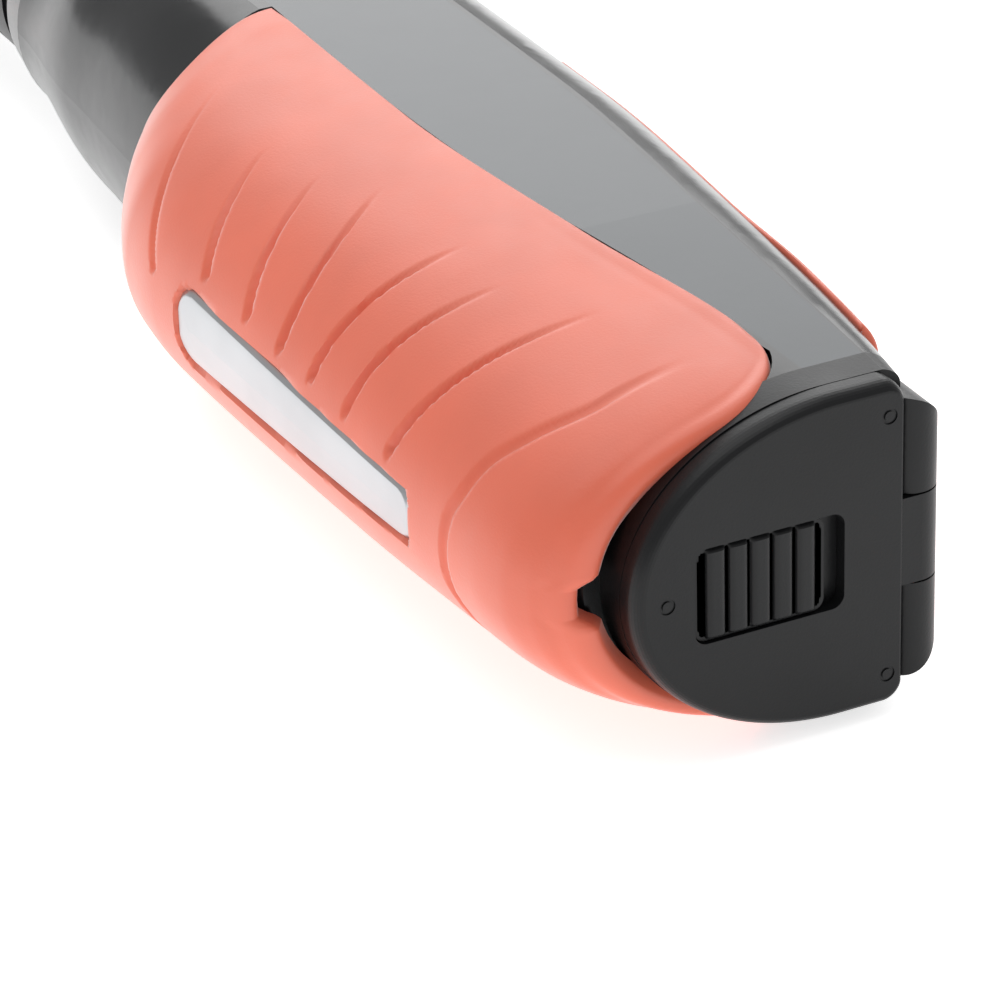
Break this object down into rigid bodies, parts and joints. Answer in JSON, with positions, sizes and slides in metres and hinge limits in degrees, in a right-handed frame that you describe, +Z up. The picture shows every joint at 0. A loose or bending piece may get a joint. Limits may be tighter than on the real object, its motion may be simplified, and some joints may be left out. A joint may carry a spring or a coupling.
{
  "type": "pinpointer probe",
  "caption": "Hand-held pinpointer probe with a soft palm grip, hinged D-shaped battery door with slide latch, push buttons, torch and a round search-coil tube.",
  "frame": {"origin": "under the middle of the bounding box, in the plane of the lower gloss panel that the tool lies on", "axes": "+X along the tool towards the probe tip, +Y towards the palm side of the grip, +Z up, normal to the two flat gloss panels"},
  "size_m": [0.24, 0.0554, 0.038],
  "materials": {
    "black_gloss": "moulded glossy black ABS",
    "panel_gloss": "polished dark grey-black ABS",
    "black_matte": "fine spark-eroded black ABS",
    "orange_soft": "soft-touch orange elastomer",
    "silver": "satin anodised with bright bevel",
    "steel": "bright steel",
    "nickel": "nickel-plated spring steel",
    "rubber_black": "matte black rubber",
    "board_green": "solder-masked board",
    "chip_black": "moulded chip package",
    "cell_label": "plain printed sleeve",
    "copper": "enamelled copper",
    "ferrite": "sintered ferrite",
    "nylon": "natural nylon",
    "clear_lens": "clear acrylic",
    "led_white": "clear-yellow LED epoxy",
    "chrome_ring": "vacuum-metallised",
    "lead_red": "PVC insulation"
  },
  "bodies": {
    "handle": {"thumb_housing": "black_gloss", "palm_housing": "black_gloss", "palm_grip": "orange_soft", "thumb_grip": "orange_soft", "palm_badge": "silver", "upper_panel": "panel_gloss", "lower_panel": "panel_gloss", "rear_frame": "black_matte", "hinge_pin": "steel", "latch_catch": "nickel", "battery_tray": "black_matte", "cell_upper": "cell_label", "cell_lower": "cell_label", "bay_contact": "nickel", "bay_plate": "nickel", "bay_spring": "nickel", "housing_screws": "steel", "main_board": "board_green", "board_screws": "steel", "tact_switches": "chip_black", "board_chips": "chip_black", "smoothing_capacitor": "chip_black", "status_led": "led_white", "light_pipe": "clear_lens", "sounder": "chip_black", "vibration_motor": "steel", "motor_cradle": "nylon", "probe_tube": "black_matte", "probe_collar": "black_gloss", "probe_seal": "rubber_black", "probe_tip": "orange_soft", "ferrite_rod": "ferrite", "coil_bobbin": "nylon", "transmit_winding": "copper", "receive_winding": "copper", "coil_plug": "nylon", "torch_bezel": "black_matte", "torch_led": "led_white", "torch_reflector": "chrome_ring", "torch_lens": "clear_lens", "coil_leads": "lead_red", "battery_leads": "lead_red"},
    "door": {"battery_door": "black_matte", "door_seals": "rubber_black", "door_contact": "nickel", "door_spring": "nickel"},
    "latch": {"latch_slider": "black_matte"},
    "power_key": {"power_button": "orange_soft"},
    "mode_key": {"mode_button": "rubber_black"},
    "motor_rotor": {"eccentric_weight": "steel"}
  },
  "joints": [
    {"name": "door_hinge", "type": "hinge", "parent": "handle", "child": "door", "pos_m": [-0.1171, -0.01678, 0.019], "axis": [0, 0, 1], "range_deg": [0, 110], "deforming": ["latch_catch"]},
    {"name": "latch_slide", "type": "slide", "parent": "door", "child": "latch", "axis": [0, -1, 0], "range_m": [0, 0.002]},
    {"name": "power_press", "type": "slide", "parent": "handle", "child": "power_key", "axis": [0, 1, 0], "range_m": [0, 0.00075], "stiffness_N_per_m": 900},
    {"name": "mode_press", "type": "slide", "parent": "handle", "child": "mode_key", "axis": [0, 1, 0], "range_m": [0, 0.0007], "stiffness_N_per_m": 900},
    {"name": "motor_spin", "type": "hinge", "parent": "handle", "child": "motor_rotor", "pos_m": [-0.05, 0.01222, 0.019], "axis": [1, 0, 0], "continuous": true}
  ]
}
